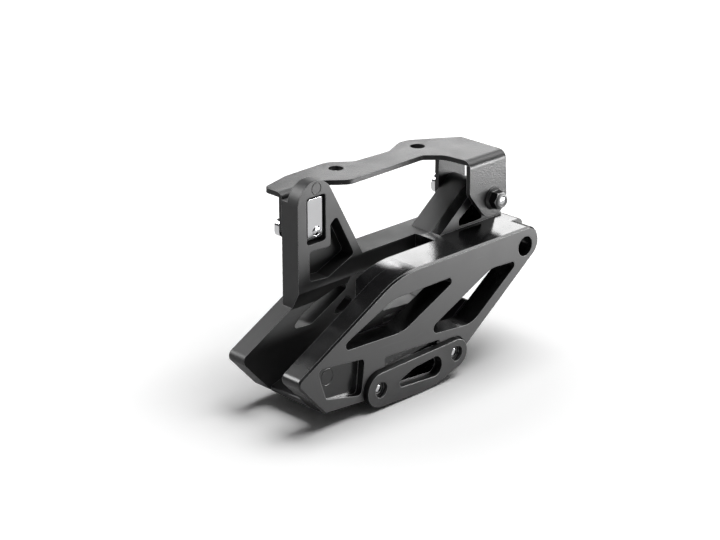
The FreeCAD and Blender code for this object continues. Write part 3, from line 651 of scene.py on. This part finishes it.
@dataclass
class HexShape:
    """A hexagon with the round chamfer of a turned head. Lengths are in millimetres."""

    flats: float = 10.0
    height: float = 5.0
    chamfer: float = 0.42
    crown_share: float = 0.95
    count: int = 72

    def radius(self, angle: float) -> float:
        """Distance from the axis to the hexagon's side at an angle."""
        step = math.pi / 3
        return self.flats / 2 / math.cos((angle % step) - step / 2)

    def rings(self, low: float) -> list[Ring]:
        """Rings from the foot of the hexagon to its top.

        Args:
            low: Height of the foot in millimetres.

        Returns:
            The rings, in metres.
        """
        top = low + self.height
        crown = self.flats / 2 * self.crown_share
        foot = circle_ring(self.radius, low, self.count)
        shoulder = circle_ring(self.radius, top, self.count)
        for index, point in enumerate(shoulder):
            reach = self.radius(2 * math.pi * index / self.count)
            point.z = (top - max(reach - crown, 0.0) * self.chamfer) * MM
        return [foot, shoulder, circle_ring(crown, top, self.count)]


@dataclass
class FlangedScrew:
    """A flanged hexagon screw with a rolled thread on its free end. Lengths are in millimetres."""

    node: str
    thread_round: float = 3.0
    pitch: float = 1.0
    thread_deep: float = 0.36
    thread_long: float = 16.0
    thread_start: float = 0.05
    thread_gap: float = 1.0
    run_out: float = 0.4
    end_share: float = 0.7
    lead_share: float = 0.72
    lead_slope: float = 0.28
    shank_share: float = 0.985
    tip_back: float = 0.0
    flange_round: float = 7.0
    flange_thick: float = 1.5
    flange_profile: Profile = ((-0.15, 0.0), (0.0, 0.15), (0.0, 0.55), (-0.3, 0.85))
    dish_profile: Profile = ((0.3, 0.0), (0.26, 0.35))
    head: HexShape = field(default_factory=HexShape)
    steps: int = 6

    def thread_radius(self, height: float, angle: float) -> float:
        """Radius of the thread, whose groove winds round the screw.

        Args:
            height: Height above the tip in millimetres.
            angle: Angle round the screw.

        Returns:
            The radius in millimetres.
        """
        lead = min(1.0, self.lead_share + height * self.lead_slope)
        phase = (height / self.pitch - angle / (2 * math.pi)) % 1.0
        groove = 1.0 - abs(2.0 * phase - 1.0)
        return min(self.thread_round * lead, self.thread_round - self.thread_deep * groove)

    def thread_ring(self, height: float) -> Ring:
        """One ring of the thread at a height above the tip."""
        return circle_ring(lambda angle: self.thread_radius(height, angle), height, self.head.count)

    def rings(self, whole: float) -> list[Ring]:
        """Rings from the tip of the screw to the dish in its head.

        Args:
            whole: Length of the screw in millimetres.

        Returns:
            The rings, in metres.
        """
        count = self.head.count
        seat = whole - self.head.height - self.flange_thick
        rings = [circle_ring(self.thread_round * self.end_share, 0.0, count)]
        turns = int(min(self.thread_long, seat - self.thread_gap) / self.pitch * self.steps)
        for index in range(turns):
            rings.append(self.thread_ring(self.thread_start + index * self.pitch / self.steps))
        shank = self.thread_round * self.shank_share
        rings.append(circle_ring(shank, rings[-1][0].z / MM + self.run_out, count))
        rings.append(circle_ring(shank, seat, count))
        rings += flange_rings(self.flange_profile, self.flange_round, seat, count)
        rings += self.head.rings(seat + self.flange_thick)
        for share, deep in self.dish_profile:
            rings.append(circle_ring(self.head.flats * share, whole - deep, count))
        return rings

    def build(self, wardrobe: Wardrobe, slot: Slot) -> bpy.types.Object:
        """Build the screw in the place of its node.

        Args:
            wardrobe: The finishes.
            slot: The screw's material slot.

        Returns:
            The screw.
        """
        low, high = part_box(self.node)
        middle = (low + high) / 2
        start = low.y + self.tip_back * MM
        piece = skin(self.node + "_threaded", self.rings((high.y - start) / MM))
        lay_along_y(piece, Vector((middle.x, start, middle.z)), Facing.FAR)
        wardrobe.dress_piece(piece, slot)
        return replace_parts(piece, self.node)


@dataclass
class FlangedNut:
    """The flanged lock nut on the near leg of the bracket. Lengths are in millimetres."""

    node: str = "rear_nut"
    ring_node: str = "rear_nut_ring"
    flange_round: float = 7.0
    flange_thick: float = 1.5
    flange_profile: Profile = ((-0.15, 0.0), (0.0, 0.15), (0.0, 0.5), (-0.4, 0.85))
    bore_round: float = 3.0
    bore_flare: float = 0.3
    flare_deep: float = 0.3
    collar_round: float = 4.3
    collar_flare: float = 0.25
    collar_profile: Profile = ((0.0, 0.0), (0.0, 0.6), (-0.2, 0.88), (-0.6, 1.0))
    head: HexShape = field(default_factory=HexShape)

    def bore_rings(self, top: float, flare: float) -> list[Ring]:
        """The flared rim of the bore at a height in millimetres, and the ring below it."""
        rim = circle_ring(self.bore_round + flare, top, self.head.count)
        return [rim, circle_ring(self.bore_round, top - self.flare_deep, self.head.count)]

    def nut_rings(self) -> list[Ring]:
        """Rings round the section of the nut.

        Returns:
            The rings, in metres.
        """
        rings = [circle_ring(self.bore_round, 0.0, self.head.count)]
        rings += flange_rings(self.flange_profile, self.flange_round, 0.0, self.head.count)
        rings += self.head.rings(self.flange_thick)
        return rings + self.bore_rings(self.flange_thick + self.head.height, self.bore_flare)

    def collar_rings(self, thick: float) -> list[Ring]:
        """Rings round the section of the collar.

        Args:
            thick: Height of the collar in millimetres.

        Returns:
            The rings, in metres.
        """
        rings = [circle_ring(self.bore_round, 0.0, self.head.count)]
        for change, share in self.collar_profile:
            rings.append(circle_ring(self.collar_round + change, thick * share, self.head.count))
        return rings + self.bore_rings(thick, self.collar_flare)

    def build(self, wardrobe: Wardrobe) -> list[bpy.types.Object]:
        """Build the nut and the collar that holds its locking ring.

        Args:
            wardrobe: The finishes.

        Returns:
            The nut and its collar.
        """
        low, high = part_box(self.node)
        middle = (low + high) / 2
        nut = skin("rear_lock_nut", self.nut_rings(), closed=True)
        lay_along_y(nut, Vector((middle.x, high.y, middle.z)), Facing.NEAR)
        wardrobe.dress_piece(nut, Slot.BLACK_STEEL)
        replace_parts(nut, self.node)
        ring_low, ring_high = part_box(self.ring_node)
        thick = (ring_high.y - ring_low.y) / MM
        collar = skin("rear_lock_nut_collar", self.collar_rings(thick), closed=True)
        lay_along_y(collar, Vector((middle.x, ring_high.y, middle.z)), Facing.NEAR)
        wardrobe.dress_piece(collar, Slot.NYLON)
        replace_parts(collar, self.ring_node)
        return [nut, collar]


@dataclass
class MouldMark:
    """The fine raised circle that an ejector pin leaves on a moulded face, in millimetres."""

    name: str
    centre: Triple
    radius: float
    tilt: float = 0.0
    wide: float = 0.6
    proud: float = 0.2
    sunk: float = 0.2
    shoulder_share: float = 0.6
    smooth: float = 80.0
    count: int = 64

    def build(self, wardrobe: Wardrobe) -> bpy.types.Object:
        """Build the circle on its face, which looks to the near side.

        Args:
            wardrobe: The finishes.

        Returns:
            The circle.
        """
        half = self.wide / 2
        shoulder = self.proud * self.shoulder_share
        rings = [
            circle_ring(self.radius - half, -self.sunk, self.count),
            circle_ring(self.radius + half, -self.sunk, self.count),
            circle_ring(self.radius + half, shoulder, self.count),
            circle_ring(self.radius, self.proud, self.count),
            circle_ring(self.radius - half, shoulder, self.count),
        ]
        mark = skin(self.name, rings, closed=True, smooth=self.smooth)
        lean = Matrix.Rotation(math.radians(self.tilt), 4, "Z")
        face = Matrix.Rotation(math.pi / 2, 4, "X")
        mark.data.transform(Matrix.Translation(place(*self.centre)) @ lean @ face)
        return wardrobe.dress_piece(mark, Slot.BLACK_PLASTIC)


@dataclass
class MouldedParts:
    """The moulded body, its wear block and the link plate, with the marks of their moulds."""

    chin_mark: MouldMark = field(
        default_factory=lambda: MouldMark("chin_ejector_mark", (22.2, 1.05, 32.2), 5.0, tilt=7.0)
    )
    tower_mark: MouldMark = field(
        default_factory=lambda: MouldMark("tower_ejector_mark", (51.9, 40.0, 126.7), 3.5)
    )

    def build(self, wardrobe: Wardrobe) -> list[bpy.types.Object]:
        """Dress the moulded nodes and add their marks.

        Args:
            wardrobe: The finishes.

        Returns:
            The new pieces.
        """
        wardrobe.dress_node("guide_body", Slot.BLACK_PLASTIC)
        wardrobe.dress_node("wear_block", Slot.WEAR_PLASTIC)
        wardrobe.dress_node("link_plate", Slot.PLATE_PLASTIC)
        return [self.chin_mark.build(wardrobe), self.tower_mark.build(wardrobe)]


@dataclass
class Metalwork:
    """The folded bracket and everything that is screwed."""

    screws: tuple[FlangedScrew, ...] = (
        FlangedScrew("front_bolt", tip_back=1.7),
        FlangedScrew("rear_bolt", tip_back=2.9),
        FlangedScrew("link_bolt_front", tip_back=1.0),
        FlangedScrew("link_bolt_rear", tip_back=1.0),
    )
    nut: FlangedNut = field(default_factory=FlangedNut)
    zinc_nodes: tuple[str, ...] = (
        "front_nut_plate",
        "front_lock_plate",
        "rear_lock_plate",
        "front_sleeve",
        "rear_sleeve",
        "link_washer_front",
        "link_washer_rear",
        "link_sleeve_front",
        "link_sleeve_rear",
    )

    def build(self, wardrobe: Wardrobe) -> list[bpy.types.Object]:
        """Dress the steel nodes and build the screws and the nut.

        Args:
            wardrobe: The finishes.

        Returns:
            The new pieces.
        """
        wardrobe.dress_node("mounting_bracket", Slot.COATED_STEEL)
        for node in self.zinc_nodes:
            wardrobe.dress_node(node, Slot.ZINC_STEEL)
        made = [screw.build(wardrobe, Slot.ZINC_STEEL) for screw in self.screws]
        return made + self.nut.build(wardrobe)


@dataclass
class SoftBox:
    """A rectangular studio lamp that looks at the guide. Lengths are in metres."""

    name: str
    towards: Triple
    distance: float
    width: float
    height: float
    radiance: float
    gloss_only: bool = False

    def build(self, aim: Vector) -> None:
        """Place the lamp.

        Args:
            aim: The point that it looks at.
        """
        data = bpy.data.lights.new(self.name, "AREA")
        data.shape = "RECTANGLE"
        data.size = self.width
        data.size_y = self.height
        data.energy = self.radiance * math.pi * self.width * self.height
        lamp = bpy.data.objects.new(self.name, data)
        bpy.context.scene.collection.objects.link(lamp)
        away = Vector(self.towards).normalized()
        lamp.location = aim + away * self.distance
        lamp.rotation_euler = (-away).to_track_quat("-Z", "Y").to_euler()
        lamp.visible_diffuse = not self.gloss_only


@dataclass
class Studio:
    """Floor, lamps, world and camera of the photograph. Lengths are in metres."""

    floor_wide: float = 8.0
    floor_drop: float = 0.0001
    floor_colour: float = 0.9
    floor_white: float = 0.2
    floor_roughness: float = 0.4
    floor_specular: float = 0.0
    glow_span: Pair = (0.1, 0.22)
    glow_strength: float = 0.33
    world_fill: float = 0.08
    world_gloss: float = 0.12
    camera_spot: Vector = field(default_factory=lambda: place(-676.6, -736.3, 500.8))
    camera_aim: Vector = field(default_factory=lambda: place(-25.4, -73.6, 131.0))
    clip_start: float = 0.01
    lens: float = 100.0
    sensor: float = 36.0
    lamp_aim: Vector = field(default_factory=lambda: place(120.0, 20.0, 60.0))
    lamps: tuple[SoftBox, ...] = (
        SoftBox("overhead_box", (0.32, 0.0, 0.95), 3.2, 2.9, 2.9, 4.1),
        SoftBox("near_right_box", (0.7, -0.71, -0.01), 0.46, 0.42, 0.11, 29.0, gloss_only=True),
        SoftBox("front_right_box", (0.72, -0.3, 0.62), 1.6, 0.9, 0.9, 6.0, gloss_only=True),
        SoftBox("back_right_box", (0.77, 0.5, 0.4), 1.6, 0.9, 0.5, 5.4, gloss_only=True),
        SoftBox("roof_bend_box", (0.53, 0.66, 0.53), 1.6, 0.2, 0.2, 7.0, gloss_only=True),
        SoftBox("top_left_box", (-0.53, 0.56, 0.64), 1.6, 0.9, 0.9, 15.0, gloss_only=True),
    )

    def build(self) -> None:
        """Build the whole studio."""
        self.lay_floor()
        self.light_world()
        for lamp in self.lamps:
            lamp.build(self.lamp_aim)
        self.set_camera()

    def lay_floor(self) -> None:
        """Lay a pale matte floor just below the guide."""
        half = self.floor_wide / 2
        data = bpy.data.meshes.new("studio_floor")
        corners = [(-half, -half, 0.0), (half, -half, 0.0), (half, half, 0.0), (-half, half, 0.0)]
        data.from_pydata(corners, [], [(0, 1, 2, 3)])
        floor = bpy.data.objects.new("studio_floor", data)
        bpy.context.scene.collection.objects.link(floor)
        floor.location.z = CAD_LOW.z - self.floor_drop
        data.materials.append(self.floor_material())

    def floor_material(self) -> bpy.types.Material:
        """Paint of the floor, which only the camera sees whiter, and whiter still away from the guide.

        Returns:
            The material.
        """
        material = bpy.data.materials.new("pale_floor")
        material.use_nodes = True
        kit = NodeKit(material.node_tree)
        shader = material.node_tree.nodes["Principled BSDF"]
        shader.inputs["Roughness"].default_value = self.floor_roughness
        shader.inputs["Specular IOR Level"].default_value = self.floor_specular
        path = kit.add("ShaderNodeLightPath")
        seen = kit.math("MULTIPLY", path.outputs["Is Camera Ray"], self.floor_white)
        kit.join(kit.math("ADD", seen, self.floor_colour), shader.inputs["Base Color"])
        where = kit.add("ShaderNodeTexCoord")
        away = kit.add("ShaderNodeVectorMath", operation="LENGTH")
        kit.join(where.outputs["Object"], away.inputs[0])
        fade = kit.math("MULTIPLY", kit.ramp(away.outputs["Value"], self.glow_span), self.glow_strength)
        glow = kit.math("MULTIPLY", fade, path.outputs["Is Camera Ray"])
        kit.join(glow, shader.inputs["Emission Strength"])
        shader.inputs["Emission Color"].default_value = (*WHITE, 1.0)
        return material

    def light_world(self) -> None:
        """Set a plain white world that is dimmer as a light than as a background."""
        world = bpy.data.worlds.new("studio_world")
        world.use_nodes = True
        bpy.context.scene.world = world
        kit = NodeKit(world.node_tree)
        background = world.node_tree.nodes["Background"]
        background.inputs["Color"].default_value = (*WHITE, 1.0)
        path = kit.add("ShaderNodeLightPath")
        seen = kit.math("MULTIPLY", path.outputs["Is Camera Ray"], 1.0 - self.world_fill)
        gloss = kit.math("MULTIPLY", path.outputs["Is Glossy Ray"], self.world_gloss - self.world_fill)
        level = kit.math("ADD", kit.math("ADD", seen, gloss), self.world_fill)
        kit.join(level, background.inputs["Strength"])

    def set_camera(self) -> None:
        """Set the camera at the photograph's viewing angle."""
        data = bpy.data.cameras.new("photo_camera")
        data.lens = self.lens
        data.sensor_width = self.sensor
        data.clip_start = self.clip_start
        camera = bpy.data.objects.new("photo_camera", data)
        bpy.context.scene.collection.objects.link(camera)
        camera.location = self.camera_spot
        camera.rotation_euler = (self.camera_aim - self.camera_spot).to_track_quat("-Z", "Y").to_euler()
        bpy.context.scene.camera = camera


def log_pieces(pieces: Iterable[bpy.types.Object]) -> None:
    """Report each new piece and its count of faces."""
    for piece in pieces:
        log.info("%s: %d faces", piece.name, len(piece.data.polygons))


def main() -> None:
    """Build the studio and every piece, in order."""
    logging.basicConfig(level=logging.INFO, format="%(name)s: %(message)s")
    Studio().build()
    wardrobe = Wardrobe()
    log_pieces(MouldedParts().build(wardrobe))
    log_pieces(Metalwork().build(wardrobe))
    bpy.context.scene.view_settings.view_transform = "Standard"


if __name__ == "__main__":
    main()
